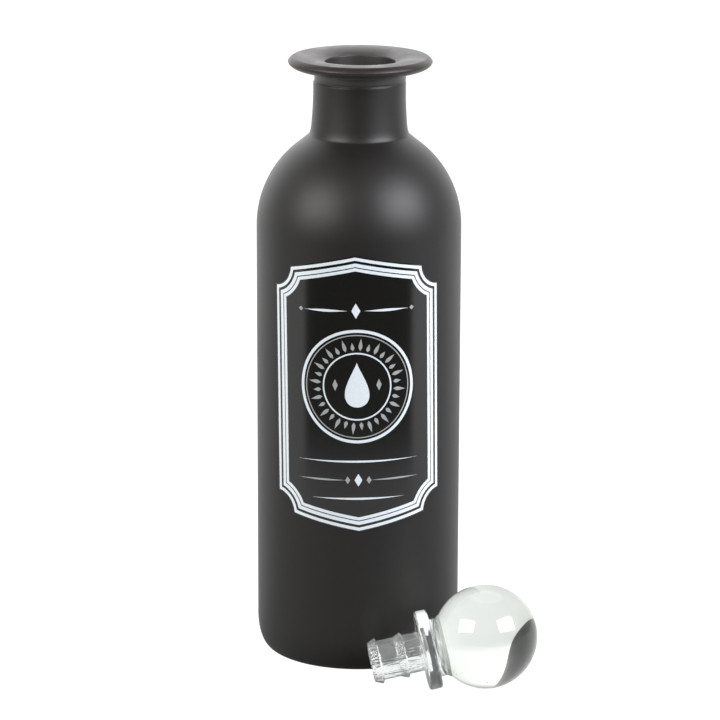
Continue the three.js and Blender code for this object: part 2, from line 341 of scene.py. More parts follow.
# %% Softboxes
SOFTBOX_AIM = Vector((0, 0, BOTTLE_HEIGHT * 0.6))
SOFTBOX_DISTANCE = 1.0
SOFTBOX_WIDTH = 0.68
SOFTBOX_HEIGHT = 0.5
SOFTBOXES = {
    "softbox_left": (Vector((-0.675, -0.545, 0.46)), math.radians(13), 8.6, (1.0, 0.98, 0.95)),
    "softbox_right": (Vector((0.715, -0.49, 0.48)), math.radians(-9), 14.1, (0.94, 0.94, 1.0)),
}
for name, (way, roll, watts, colour) in SOFTBOXES.items():
    lamp = bpy.data.lights.new(name, "AREA")
    lamp.shape = "RECTANGLE"
    lamp.size = SOFTBOX_WIDTH
    lamp.size_y = SOFTBOX_HEIGHT
    lamp.energy = watts
    lamp.color = colour
    softbox = bpy.data.objects.new(name, lamp)
    softbox.location = SOFTBOX_AIM + way.normalized() * SOFTBOX_DISTANCE
    softbox.rotation_euler = (way.to_track_quat("Z", "Y") @ Quaternion((0, 0, 1), roll)).to_euler()
    bpy.context.scene.collection.objects.link(softbox)
    print(name, watts, "W")

# %% [markdown]
# Turned pieces
#
# The bottle, the plug, the ball and the glue film under the ball are all turned shapes.
# Blender's Screw modifier could turn a profile, but a grid worked out with numpy gives full control
# of the points: one row for each point of the profile and one column for each angle.
# A straight stretch also needs a few extra rows, so that smooth shading does not smear a rounded corner
# over it.


# %% Arcs and crossings
def arc(centre, radius, start, end, steps, up=None):
    """Part of a circle: centre + radius (cos t, sin t), with t from start to end in degrees.
    With another radius for sin t, up, it is part of an ellipse."""
    t = np.radians(np.linspace(start, end, steps + 1))
    rise = radius if up is None else up
    return np.stack([centre[0] + radius * np.cos(t), centre[1] + rise * np.sin(t)], axis=1)


def bearing(origin, target):
    """The angle, in degrees, at which target is seen from origin."""
    return math.degrees(math.atan2(target[1] - origin[1], target[0] - origin[0]))


def circles_cross(centre_a, radius_a, centre_b, radius_b):
    """Where two circles cross, on the left of the way from the first centre to the second."""
    way = np.subtract(centre_b, centre_a)
    apart = np.hypot(*way)
    along = (apart ** 2 + radius_a ** 2 - radius_b ** 2) / (2 * apart)
    aside = math.sqrt(radius_a ** 2 - along ** 2)
    unit = way / apart
    return np.add(centre_a, unit * along + np.array([-unit[1], unit[0]]) * aside)


def line_to_circle(start, way, centre, radius):
    """How far a point inside a circle can go along a unit way before it meets the circle:
    the larger root s of |start + s way - centre| = radius."""
    gap = np.subtract(start, centre)
    half = gap @ way
    return -half + math.sqrt(half ** 2 - gap @ gap + radius ** 2)


def tangent_curve(start, start_turn, end, end_turn, steps):
    """A smooth way from a point on one circle to a point on another, each given with its angle from its
    centre. With c where the two tangents cross, it is (1-t)^2 start + 2t(1-t) c + t^2 end."""
    turns = np.radians([start_turn, end_turn])
    tangents = np.stack([-np.sin(turns), np.cos(turns)])
    reach = np.linalg.solve(tangents * [1, -1], np.subtract(end, start))
    crossing = start + tangents[:, 0] * reach[0]
    t = np.linspace(0, 1, steps + 1)[:, None]
    return (1 - t) ** 2 * start + 2 * t * (1 - t) * crossing + t ** 2 * end


# %% Rounded corners and extra rows
LARGEST_CORNER_SHARE = 0.45
SAME_POINT = 1e-7


def softened(corners, radius, steps=5):
    """A bent line with its inner corners rounded: each corner becomes the curve from a point A before it to
    a point B after it, (1-t)^2 A + 2t(1-t) corner + t^2 B. A and B are at most radius away from the corner,
    and at most LARGEST_CORNER_SHARE of the way to the next one."""
    corners = np.asarray(corners, float)
    t = np.linspace(0, 1, steps + 1)[:, None]
    pieces = [corners[:1]]
    for before, corner, after in zip(corners[:-2], corners[1:-1], corners[2:]):
        back = before - corner
        ahead = after - corner
        reach_back = min(radius, LARGEST_CORNER_SHARE * np.hypot(*back))
        reach_ahead = min(radius, LARGEST_CORNER_SHARE * np.hypot(*ahead))
        a = corner + back / np.hypot(*back) * reach_back
        b = corner + ahead / np.hypot(*ahead) * reach_ahead
        pieces.append((1 - t) ** 2 * a + 2 * t * (1 - t) * corner + t ** 2 * b)
    pieces.append(corners[-1:])
    return np.concatenate(pieces)


def spaced(profile, longest):
    """The same profile with extra points, so that no two neighbours are further apart than longest."""
    gaps = np.hypot(*np.diff(profile, axis=0).T)
    keep = np.concatenate([[True], gaps > SAME_POINT])
    profile = profile[keep]
    gaps = np.hypot(*np.diff(profile, axis=0).T)
    run = np.concatenate([[0], np.cumsum(gaps)])
    cuts = np.ceil(gaps / longest).astype(int)
    stretch = np.repeat(np.arange(len(gaps)), cuts)
    share = (np.arange(cuts.sum()) - np.repeat(np.cumsum(cuts) - cuts, cuts)) / np.repeat(cuts, cuts)
    at = np.append(run[stretch] + share * gaps[stretch], run[-1])
    return np.stack([np.interp(at, run, profile[:, 0]), np.interp(at, run, profile[:, 1])], axis=1)


# %% Lathe
SHARP_CORNER = math.radians(40)


def lathe(profile, sides, start=0):
    """Turns a profile that starts and ends on the axis: (r, h) goes to (r cos t, r sin t, h) at each
    angle t. The two ends are single points, and fans of triangles close the surface there. The points are
    numbered from start, for a mesh that already has some."""
    t = np.linspace(0, 2 * np.pi, sides, endpoint=False)
    radius = profile[1:-1, 0:1]
    height = np.broadcast_to(profile[1:-1, 1:2], (len(profile) - 2, sides))
    rings = np.stack([radius * np.cos(t), radius * np.sin(t), height], axis=-1).reshape(-1, 3)
    poles = np.array([[0, 0, profile[0, 1]], [0, 0, profile[-1, 1]]])
    index = np.arange(len(rings)).reshape(-1, sides) + start
    around = np.roll(index, -1, axis=1)
    quads = np.stack([index[:-1], around[:-1], around[1:], index[1:]], axis=-1).reshape(-1, 4)
    pole = start + len(rings)
    first = np.stack([np.full(sides, pole), around[0], index[0]], axis=1)
    last = np.stack([np.full(sides, pole + 1), index[-1], around[-1]], axis=1)
    return np.concatenate([rings, poles]), quads.tolist() + first.tolist() + last.tolist()


def add_piece(name, vertices, faces, material, body, slot, node=None):
    """Puts a surface into the scene: it rides on a body, holds its material and may stand for a node. The
    slot is not used.
    """
    mesh = bpy.data.meshes.new(name)
    mesh.from_pydata(np.asarray(vertices).tolist(), [], faces)
    mesh.shade_smooth()
    mesh.set_sharp_from_angle(angle=SHARP_CORNER)
    mesh.materials.append(material)
    piece = bpy.data.objects.new(name, mesh)
    bpy.context.scene.collection.objects.link(piece)
    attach(piece, body)
    if node:
        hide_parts(node)
    print(name, len(vertices), "points,", len(faces), "faces")
    return piece


# %% [markdown]
# The bottle's glass
#
# A blown bottle has no straight lines that meet at a sharp corner: the heel, the dome of the shoulder,
# the foot of the neck and the lip all run into each other in arcs.
# So the profile is a chain of arcs, each of which starts where the last one ends, from the middle of the
# base, up the outside, over the lip and down the inside.

# %% Bottle sizes
SHOULDER_START = 149 * MM
SHOULDER_RADIUS = 35.25 * MM
HEEL_WIDTH = 4.2 * MM
HEEL_HEIGHT = 10.7 * MM
STANDING_RING_WIDTH = 5 * MM
PUSH_UP_DEPTH = 0.8 * MM
PUSH_UP_SLOPE_WIDTH = 3 * MM
BASE_CORNER = 1.2 * MM
NECK_RADIUS = 15.65 * MM
NECK_FLARE_BELOW_TOP = 11 * MM
NECK_FLARE_RADIUS = 135 * MM
NECK_FOOT_RISE = 3.4 * MM
NECK_FOOT_RUN = 1.0 * MM
DOME_TURN = 51
MOULD_STEP_BELOW_TOP = 8.7 * MM
MOULD_STEP_DEPTH = 0.18 * MM
MOULD_STEP_SLOPE = 0.5 * MM
MOULD_GROOVE_DEPTH = 0.12 * MM
MOULD_STEP_CORNER = 0.3 * MM
LIP_RADIUS = 24.38 * MM
LIP_THICKNESS = 4.46 * MM
LIP_EDGE_BELOW_TOP = 1.55 * MM
LIP_FACE_WIDTH = 1.6 * MM
LIP_FACE_RADIUS = 3.2 * MM
LIP_FACE_CORNER = 0.3 * MM
LIP_UNDER_ROUND_WIDTH = 6.5 * MM
LIP_UNDER_FILLET = 1.4 * MM
DISH_RADIUS = 19.5 * MM
DISH_DEPTH = 1.7 * MM
MOUTH_RADIUS = 11.85 * MM
MOUTH_EDGE_RADIUS = 0.35 * MM
BODY_WALL = 3.2 * MM
BASE_HEIGHT_INSIDE = 6.2 * MM
INNER_HEEL_RADIUS = 8 * MM
INNER_FOOT_FILLET = 6 * MM
LIP_SHIFT_HEIGHTS = np.array([184, 195, 198.3, 198.8, 202.4]) * MM
LIP_SHIFTS = np.array([0, 0.09, 0.09, 0.25, 0.3]) * MM
LIP_SINK = 0.19 * MM
LIP_LEAN = math.radians(0.14)
LIP_NOD = math.radians(0.2)
LIP_DROOP = 0.2 * MM
LIP_DROOP_START = 0.8
BOTTLE_SIDES = 192
BOTTLE_ROW = 1.6 * MM
DOME_CENTRE = (BODY_RADIUS - SHOULDER_RADIUS, SHOULDER_START)


# %% Outside of the bottle
def bottle_outside():
    """From the middle of the base to the step below the lip: base, heel, wall, dome, a short cone, a curve
    that leads into the neck, and the flaring neck."""
    ring_outer = BODY_RADIUS - HEEL_WIDTH
    ring_inner = ring_outer - STANDING_RING_WIDTH
    slope_start = ring_inner - PUSH_UP_SLOPE_WIDTH
    base = softened([(0, PUSH_UP_DEPTH), (slope_start, PUSH_UP_DEPTH), (ring_inner, 0), (ring_outer, 0)],
                    BASE_CORNER)
    heel = arc((ring_outer, HEEL_HEIGHT), HEEL_WIDTH, -90, 0, 20, HEEL_HEIGHT)
    dome = arc(DOME_CENTRE, SHOULDER_RADIUS, 0, DOME_TURN, 36)

    flare = (NECK_RADIUS + NECK_FLARE_RADIUS, BOTTLE_HEIGHT - NECK_FLARE_BELOW_TOP)
    up_the_cone = np.array([-math.sin(math.radians(DOME_TURN)), math.cos(math.radians(DOME_TURN))])
    corner = dome[-1] + up_the_cone * line_to_circle(dome[-1], up_the_cone, flare, NECK_FLARE_RADIUS)
    cone_end = corner - up_the_cone * NECK_FOOT_RUN
    on_flare = bearing(flare, corner) % 360 - math.degrees(NECK_FOOT_RISE / NECK_FLARE_RADIUS)
    neck = arc(flare, NECK_FLARE_RADIUS, on_flare, 180, 12)
    foot = tangent_curve(cone_end, DOME_TURN, neck[0], on_flare, 16)[:-1]

    inner = NECK_RADIUS - MOULD_STEP_DEPTH
    step = BOTTLE_HEIGHT - MOULD_STEP_BELOW_TOP
    mould_step = softened([
        neck[-1],
        (NECK_RADIUS, step),
        (inner - MOULD_GROOVE_DEPTH, step + MOULD_STEP_SLOPE),
        (inner, step + 2 * MOULD_STEP_SLOPE),
        (inner, step + 3 * MOULD_STEP_SLOPE),
    ], MOULD_STEP_CORNER)
    return np.concatenate([base, heel, dome, foot, neck, mould_step])


outside = bottle_outside()
print("outside of", len(outside), "points, up to", round(outside[-1, 1] / MM, 1), "mm")


# %% Lip
def bottle_lip():
    """A fillet, an underside that curves up to the widest point, a sloping face, a flat rim, a dished top
    and the mouth's edge. The underside is a quarter ellipse, and the face is the arc of LIP_FACE_RADIUS
    between its ends."""
    edge = BOTTLE_HEIGHT - LIP_EDGE_BELOW_TOP
    neck = NECK_RADIUS - MOULD_STEP_DEPTH
    fillet = (neck + LIP_UNDER_FILLET, BOTTLE_HEIGHT - LIP_THICKNESS - LIP_UNDER_FILLET)
    under = (LIP_RADIUS - LIP_UNDER_ROUND_WIDTH, edge)
    face_low = (LIP_RADIUS, edge)
    face_high = (LIP_RADIUS - LIP_FACE_WIDTH, BOTTLE_HEIGHT)
    middle = circles_cross(face_low, LIP_FACE_RADIUS, face_high, LIP_FACE_RADIUS)
    face_turns = (bearing(middle, face_low), bearing(middle, face_high))
    face = arc(middle, LIP_FACE_RADIUS, *face_turns, 12)
    rim = softened([face[-3], face_high, (DISH_RADIUS, BOTTLE_HEIGHT)], LIP_FACE_CORNER)
    run = DISH_RADIUS - MOUTH_RADIUS
    curve = (run ** 2 + DISH_DEPTH ** 2) / (2 * DISH_DEPTH)
    dish = (DISH_RADIUS, BOTTLE_HEIGHT - curve)
    mouth = (MOUTH_RADIUS, BOTTLE_HEIGHT - DISH_DEPTH)
    slope = arc(dish, curve, 90, bearing(dish, mouth), 14)
    down_the_bore = (MOUTH_RADIUS, mouth[1] - 3 * MOUTH_EDGE_RADIUS)
    mouth_edge = softened([slope[-4], mouth, down_the_bore], MOUTH_EDGE_RADIUS, 8)
    return np.concatenate([
        arc(fillet, LIP_UNDER_FILLET, 180, 90, 10),
        arc(under, LIP_UNDER_ROUND_WIDTH, -90, 0, 20, LIP_THICKNESS - LIP_EDGE_BELOW_TOP),
        face[:-2],
        rim[1:-1],
        slope[:-3],
        mouth_edge[1:],
    ])


lip = bottle_lip()
print("lip of", len(lip), "points,", round(2 * lip[:, 0].max() / MM, 1), "mm across")


# %% Inside of the bottle
def bottle_inside():
    """From the mouth down to the middle of the floor: bore, fillet, dome, wall and inner heel."""
    radius = BODY_RADIUS - BODY_WALL
    dome_radius = SHOULDER_RADIUS - BODY_WALL
    out = MOUTH_RADIUS + INNER_FOOT_FILLET
    reach = dome_radius + INNER_FOOT_FILLET
    foot = (out, SHOULDER_START + math.sqrt(reach ** 2 - (out - DOME_CENTRE[0]) ** 2))
    on_dome = bearing(DOME_CENTRE, foot)
    heel = (radius - INNER_HEEL_RADIUS, BASE_HEIGHT_INSIDE + INNER_HEEL_RADIUS)
    return np.concatenate([
        arc(foot, INNER_FOOT_FILLET, 180, on_dome + 180, 10),
        arc(DOME_CENTRE, dome_radius, on_dome, 0, 24),
        arc(heel, INNER_HEEL_RADIUS, 0, -90, 12),
        [(0, BASE_HEIGHT_INSIDE)],
    ])


bottle_profile = spaced(np.concatenate([outside, lip, bottle_inside()]), BOTTLE_ROW)
print("bottle profile of", len(bottle_profile), "points")


# %% A neck that sits askew
def finished_askew(vertices):
    """The neck and lip are shaped after the body, so they sit a little to the right, and the lip leans
    right and forward. A point moves right by LIP_SHIFTS at its height, and above the mould's step it sinks,
    up to LIP_SINK + x tan(LIP_LEAN) - y tan(LIP_NOD) at the lip. The front of the rim droops towards its
    edge, from LIP_DROOP_START of the lip's radius on."""
    x, y, z = vertices.T
    step = BOTTLE_HEIGHT - MOULD_STEP_BELOW_TOP
    share = np.clip((z - step) / (MOULD_STEP_BELOW_TOP - LIP_THICKNESS), 0, 1)
    right = np.interp(z, LIP_SHIFT_HEIGHTS, LIP_SHIFTS)
    sink = LIP_SINK + x * math.tan(LIP_LEAN) - y * math.tan(LIP_NOD)
    to_the_edge = np.clip((np.hypot(x, y) / LIP_RADIUS - LIP_DROOP_START) / (1 - LIP_DROOP_START), 0, 1)
    sink += LIP_DROOP * np.clip(-y / LIP_RADIUS, 0, 1) ** 2 * to_the_edge
    return np.stack([x + right, y, z - share * sink], axis=1)


bottle_vertices, bottle_faces = lathe(bottle_profile, BOTTLE_SIDES)
bottle_vertices = finished_askew(bottle_vertices)
print("the bottle's highest point is at", round(bottle_vertices[:, 2].max() / MM, 2), "mm")

# %% [markdown]
# The satin black coat
#
# The coat is a sprayed paint: dark, neither matt nor glossy, with a very fine orange peel.
# Light and dark come from what it mirrors, so its colour hardly changes, and its roughness does the work.
# On the lip the coat is thin and lighter. Under the lip a much lighter colour is painted light, which
# stands in for the light that the table throws up there. Hands and the stopper have polished the lip in
# places, and the foot of the neck is a little smoother too.
# A picture could hold these tones, but steps on the height need no unwrapping and stay sharp from nearby.

# %% Satin black
COAT_COLOUR = (0.006, 0.005, 0.0043, 1)
COAT_COLOUR_THIN = (0.0092, 0.008, 0.007, 1)
LIP_COLOUR = (0.0185, 0.0128, 0.0122, 1)
# Painted light: under the lip the coat gets a much lighter colour, standing in for the light from the
# table.
UNDER_LIP_PAINTED_LIGHT = (0.1, 0.095, 0.09, 1)
# Painted light: the bore's wall is painted lighter, standing in for the light that falls into the mouth.
BORE_PAINTED_LIGHT = (0.0315, 0.03, 0.028, 1)
BORE_FADE = (MOUTH_RADIUS + 0.4 * MM, MOUTH_RADIUS + 0.9 * MM)
LIP_FADE = (BOTTLE_HEIGHT - 8 * MM, BOTTLE_HEIGHT - 5.5 * MM)
UNDER_LIP_LIGHT_FADE_IN = (BOTTLE_HEIGHT - 9 * MM, BOTTLE_HEIGHT - 5.5 * MM)
UNDER_LIP_LIGHT_FADE_OUT = (BOTTLE_HEIGHT - 4.6 * MM, BOTTLE_HEIGHT - 2.8 * MM)
NECK_FOOT_FADE_IN = (175 * MM, 179 * MM)
NECK_FOOT_FADE_OUT = (179 * MM, 184 * MM)


def satin_black_coat():
    """Black paint whose tone and gloss change with the height and, in the bore, with the distance r out."""
    wire, place, finish = new_material("satin_black_coat")
    height = wire.node("ShaderNodeSeparateXYZ", None, {0: place}, out="Z")
    across = height.other("X")
    deep = height.other("Y")
    out = wire.math("SQRT", across * across + deep * deep, 0.0)
    bore = 1.0 - wire.step(out, *BORE_FADE)
    clouds = wire.noise(place, scale=38.0, detail=3.0)
    handled = wire.step(wire.noise(place, scale=120.0, detail=4.0), 0.5, 0.68)
    foot = wire.step(height, *NECK_FOOT_FADE_IN) - wire.step(height, *NECK_FOOT_FADE_OUT)
    lip = wire.step(height, *LIP_FADE)
    # Where the painted light under the lip fades in and out along the height.
    painted_light_under_lip = wire.step(height, *UNDER_LIP_LIGHT_FADE_IN) - wire.step(height, *UNDER_LIP_LIGHT_FADE_OUT)
    roughness = 0.44 + clouds * 0.06 - foot * 0.04 - lip * (handled * 0.06 + 0.03)
    colour = wire.blend(clouds * 0.6, COAT_COLOUR, COAT_COLOUR_THIN)
    colour = wire.blend(lip, colour, LIP_COLOUR)
    colour = wire.blend(painted_light_under_lip, colour, UNDER_LIP_PAINTED_LIGHT)
    # Painted light on the bore's wall.
    colour = wire.blend(bore, colour, BORE_PAINTED_LIGHT)
    wavy = wire.bump(wire.noise(place, scale=55.0, detail=1.0), distance=0.12 * MM, strength=0.35)
    spray = wire.noise(place, scale=9000.0, detail=1.0)
    peel = wire.bump(spray, distance=0.013 * MM, normal=wavy)
    return finish(Base_Color=colour, Roughness=roughness, Normal=peel, IOR=1.472)


add_piece("glass_bottle", bottle_vertices, bottle_faces, satin_black_coat(), "bottle", "bottle_glass",
          "bottle")

# %% [markdown]
# The label's film
#
# The label is a thin gloss film cut to a plaque: pointed at top and bottom, with a scoop at each corner.
# It is drawn flat first, as width s and height z about its own centre, and then wrapped on the body:
# the angle round the bottle is s divided by the radius.
# A plate has a front grid, the same grid a little deeper as its back, and a rim that joins them.
# Cut out of a plane and bent by a modifier, it would have stray long faces; a grid keeps them even.

# %% Plates and the wrap
LABEL_WIDTH = 61.6 * MM
LABEL_HEIGHT = 95.4 * MM
LABEL_CENTRE_HEIGHT = 98.1 * MM
LABEL_APEX_RISE = 4.8 * MM
LABEL_SCOOP_RADIUS = 6.9 * MM
LABEL_TILT = math.radians(1)
LABEL_TURN = math.radians(-0.7)
FILM_BACK = 0.02 * MM
FILM_FRONT = 0.26 * MM
INK_BACK = 0.24 * MM
INK_FRONT = 0.29 * MM
LABEL_CORNER_HEIGHT = LABEL_HEIGHT / 2 - LABEL_APEX_RISE
FILM_ROWS = 61


def wrapped(flat, lift):
    """Tilts a flat drawing about the label's centre, then bends it round the body, lifted off the glass."""
    s = flat[..., 0] * math.cos(LABEL_TILT) - flat[..., 1] * math.sin(LABEL_TILT)
    z = flat[..., 0] * math.sin(LABEL_TILT) + flat[..., 1] * math.cos(LABEL_TILT)
    angle = s / (BODY_RADIUS + FILM_FRONT) + LABEL_TURN
    radius = BODY_RADIUS + lift
    return np.stack([radius * np.sin(angle), -radius * np.cos(angle), LABEL_CENTRE_HEIGHT + z], axis=-1)


def plate(flat, back, front, closed=False):
    """A closed plate over a grid of flat points: rows run upwards or round a loop, columns to the right of
    that. A closed grid joins its last row to its first."""
    rows, columns = flat.shape[:2]
    vertices = np.concatenate([wrapped(flat, front).reshape(-1, 3), wrapped(flat, back).reshape(-1, 3)])
    over = np.arange(rows * columns).reshape(rows, columns)
    if closed:
        over = np.concatenate([over, over[:1]])
    under = over + rows * columns
    quads = [
        np.stack([over[:-1, :-1], over[:-1, 1:], over[1:, 1:], over[1:, :-1]], axis=-1),
        np.stack([under[1:, :-1], under[1:, 1:], under[:-1, 1:], under[:-1, :-1]], axis=-1),
        np.stack([over[:-1, -1], under[:-1, -1], under[1:, -1], over[1:, -1]], axis=-1),
        np.stack([over[1:, 0], under[1:, 0], under[:-1, 0], over[:-1, 0]], axis=-1),
    ]
    if not closed:
        quads.append(np.stack([over[-1, :-1], over[-1, 1:], under[-1, 1:], under[-1, :-1]], axis=-1))
        quads.append(np.stack([under[0, :-1], under[0, 1:], over[0, 1:], over[0, :-1]], axis=-1))
    return vertices, np.concatenate([q.reshape(-1, 4) for q in quads])


def joined(plates):
    """Several plates as one list of points and one list of faces."""
    starts = np.cumsum([0] + [len(vertices) for vertices, _ in plates[:-1]])
    vertices = np.concatenate([vertices for vertices, _ in plates])
    faces = np.concatenate([faces + start for (_, faces), start in zip(plates, starts)])
    return vertices, faces.tolist()


def flat_grid(s, z):
    """The points of a flat drawing, with rows and columns spread from their two coordinates."""
    return np.stack(np.broadcast_arrays(s, z), axis=-1)


def film_grid():
    """Columns from left to right; each runs from the lower to the upper edge of the plaque. The edge rises
    in a straight line to the point in the middle and falls in a quarter circle at each scoop."""
    half = LABEL_WIDTH / 2
    inset = half - LABEL_SCOOP_RADIUS
    turn = np.radians(np.linspace(0, 90, 13))
    scoop_s = half - LABEL_SCOOP_RADIUS * np.cos(turn)
    scoop_z = LABEL_CORNER_HEIGHT - LABEL_SCOOP_RADIUS * np.sin(turn)
    slant_s = np.linspace(0, inset, 34)[:-1]
    slant_z = LABEL_CORNER_HEIGHT + LABEL_APEX_RISE * (1 - slant_s / inset)
    right_s = np.concatenate([slant_s, scoop_s])
    right_z = np.concatenate([slant_z, scoop_z])
    s = np.concatenate([-right_s[:0:-1], right_s])
    top = np.concatenate([right_z[:0:-1], right_z])
    up = np.linspace(-1, 1, FILM_ROWS)[:, None]
    return flat_grid(s, up * top)


# %% [markdown]
# The film's gloss
#
# The film is black under a clear layer. It mirrors the room more sharply than the bottle's coat does, and
# the layer makes that reflection stronger. Fine specks and clouds stand for handling.

# %% Gloss black film
FILM_COLOUR = (0.0025, 0.0023, 0.0018, 1)
FILM_COLOUR_SCUFFED = (0.0058, 0.0054, 0.0045, 1)


def gloss_black_film():
    """Black film whose colour and gloss change a little in clouds and specks, under a clear layer."""
    wire, place, finish = new_material("gloss_black_film")
    clouds = wire.noise(place, scale=60.0)
    specks = wire.step(wire.noise(place, scale=900.0), 0.62, 0.72)
    colour = wire.blend(clouds * 0.5 + specks * 0.3, FILM_COLOUR, FILM_COLOUR_SCUFFED)
    roughness = 0.15 + clouds * 0.05 + specks * 0.05
    wavy = wire.bump(wire.noise(place, scale=90.0, detail=1.0), distance=0.05 * MM, strength=0.4)
    return finish(Base_Color=colour, Roughness=roughness, Normal=wavy, IOR=1.5, Coat_Weight=0.8,
                  Coat_Roughness=0.17, Coat_IOR=1.5)


film = joined([plate(film_grid(), FILM_BACK, FILM_FRONT)])
add_piece("label_film", *film, gloss_black_film(), "bottle", "label_film", "front_label")

# %% [markdown]
# The print on the label
#
# The print is ink with a thickness of its own, so each line is a thin plate that stands a few hundredths
# of a millimetre above the film and catches the light at its edge.
# A frame of three lines follows the plaque's outline. Inside it is a plain medallion: rings, a drop,
# a wreath of rays, lozenges and rules, made by a few functions that are used again and again.
# Each function returns a grid of flat points, and whether the grid's last row joins its first.

# %% Frame lines
FRAME_LINES = [(0.45 * MM, 1.5 * MM), (2.42 * MM, 3.63 * MM), (3.98 * MM, 5.04 * MM)]


def plaque_loop(inset):
    """The plaque's outline drawn a given distance inside its edge, anticlockwise from the middle of the
    right side. Straight sides move in, slants move down square to themselves, and each scoop's radius grows
    by the distance."""
    half = LABEL_WIDTH / 2
    corner = np.array([half, LABEL_CORNER_HEIGHT])
    radius = LABEL_SCOOP_RADIUS + inset
    slope = LABEL_APEX_RISE / (half - LABEL_SCOOP_RADIUS)
    top = LABEL_HEIGHT / 2 - inset * math.hypot(1, slope)
    in_scoop = np.array([half, top - slope * half])
    up_the_slant = np.array([-1, slope]) / math.hypot(1, slope)
    slant_end = in_scoop + up_the_slant * line_to_circle(in_scoop, up_the_slant, corner, radius)
    side_end = np.array([half - inset, LABEL_CORNER_HEIGHT - math.sqrt(radius ** 2 - inset ** 2)])
    side = np.linspace([half - inset, 0], side_end, 41)[:-1]
    scoop_turns = (bearing(corner, side_end) % 360, bearing(corner, slant_end) % 360)
    scoop = arc(corner, radius, *scoop_turns, 14)
    slant = np.linspace(slant_end, [0, top], 36)[1:]
    quarter = np.concatenate([side, scoop, slant])
    upper = np.concatenate([quarter, quarter[-2::-1] * [-1, 1]])
    return np.concatenate([upper, upper[-2:0:-1] * [1, -1]])


def frame_line(outer, inner):
    """A band between two loops of the plaque. Its grid closes."""
    across = np.linspace(0, 1, 3)[:, None]
    return plaque_loop(inner)[:, None] * (1 - across) + plaque_loop(outer)[:, None] * across, True


white_shapes = [frame_line(outer, inner) for outer, inner in FRAME_LINES]
print(len(white_shapes), "frame lines")

# %% Ornament shapes
BLUNT_TIP = 0.01 * MM


def ring(centre, inner, outer):
    """A flat ring: centre + r (cos t, sin t), r from the inner to the outer radius. Its grid closes."""
    t = np.linspace(0, 2 * np.pi, 180, endpoint=False)[:, None]
    r = np.linspace(inner, outer, 4)[None, :]
    return flat_grid(centre[0] + r * np.cos(t), centre[1] + r * np.sin(t)), True


def leaf(start, end, widest, peak, rows):
    """A pointed blade from start to end. Its half-width is widest times sin(b)^1.3, where b grows from 0 to
    90 degrees at the share peak and falls back to 0."""
    start = np.asarray(start, float)
    end = np.asarray(end, float)
    along = np.linspace(0, 1, rows)[:, None]
    bend = np.where(along < peak, along / peak, (1 - along) / (1 - peak))
    half = widest * np.sin(bend * np.pi / 2) ** 1.3 + BLUNT_TIP
    way = (end - start) / np.hypot(*(end - start))
    right = np.array([way[1], -way[0]])
    across = np.linspace(-1, 1, 3)[None, :]
    middle = start + along * (end - start)
    return middle[:, None] + (half * across)[..., None] * right, False


def lozenge(centre, half_width, half_height):
    """A diamond: its half-width falls in a straight line from the middle to both points."""
    along = np.linspace(-1, 1, 17)[:, None]
    half = half_width * (1 - np.abs(along)) + BLUNT_TIP
    across = np.linspace(-1, 1, 5)[None, :]
    return flat_grid(centre[0] + half * across, centre[1] + half_height * along), False


def rule(centre, half_length, half_width):
    """A straight line that thins to a point at both ends."""
    left = (centre[0] - half_length, centre[1])
    right = (centre[0] + half_length, centre[1])
    return leaf(left, right, half_width, peak=0.5, rows=61)


def drop(centre, height, half_width):
    """A falling drop: the half-width is half_width * 1.3 * sin(t) * sin(t/2)^1.6 at the height cos(t)/2,
    with t from 179 to 1 degrees."""
    t = np.radians(np.linspace(179, 1, 61))[:, None]
    half = half_width * 1.3 * np.sin(t) * np.sin(t / 2) ** 1.6
    across = np.linspace(-1, 1, 17)[None, :]
    return flat_grid(centre[0] + half * across, centre[1] + height / 2 * np.cos(t)), False


def inked(shapes):
    """All shapes of one colour as plates."""
    return joined([plate(flat, INK_BACK, INK_FRONT, closed) for flat, closed in shapes])


# %% Lay the print out
MEDALLION = (0.0, 3.0 * MM)
OUTER_RING = (18.6 * MM, 19.6 * MM)
MIDDLE_RING = (17.5 * MM, 17.85 * MM)
INNER_RING = (11.2 * MM, 11.7 * MM)
RAY_COUNT = 32
RAY_START = 12.4 * MM
RAY_ENDS = (15.2 * MM, 16.7 * MM)
RAY_HALF_WIDTH = 0.62 * MM
RAY_WIDEST_AT = 0.3
DROP_CENTRE = (0, MEDALLION[1] + 0.6 * MM)
UPPER_ROW = 29.0 * MM
LOWER_ROW = -29.5 * MM

silver_shapes = [ring(MEDALLION, *MIDDLE_RING)]
white_shapes += [ring(MEDALLION, *OUTER_RING), ring(MEDALLION, *INNER_RING)]
for ray in range(RAY_COUNT):
    turn = 2 * np.pi * (ray + 0.5) / RAY_COUNT
    way = np.array([np.cos(turn), np.sin(turn)])
    start = MEDALLION + way * RAY_START
    end = MEDALLION + way * RAY_ENDS[ray % 2]
    silver_shapes.append(leaf(start, end, RAY_HALF_WIDTH, RAY_WIDEST_AT, rows=13))
white_shapes.append(drop(DROP_CENTRE, height=15.5 * MM, half_width=4.6 * MM))
for side in (-1, 1):
    beside_drop = (side * 7.4 * MM, MEDALLION[1] + 0.5 * MM)
    silver_shapes.append(lozenge(beside_drop, half_width=0.9 * MM, half_height=2.0 * MM))
    white_shapes.append(rule((side * 10.4 * MM, UPPER_ROW), half_length=7.6 * MM, half_width=0.42 * MM))
    silver_shapes.append(lozenge((side * 19.4 * MM, UPPER_ROW), half_width=0.8 * MM, half_height=0.8 * MM))
    silver_shapes.append(rule((side * 12.6 * MM, LOWER_ROW), half_length=8.6 * MM, half_width=0.3 * MM))
    silver_shapes.append(lozenge((side * 3.6 * MM, LOWER_ROW), half_width=0.85 * MM, half_height=1.3 * MM))
white_shapes.append(lozenge((0, UPPER_ROW), half_width=1.5 * MM, half_height=2.6 * MM))
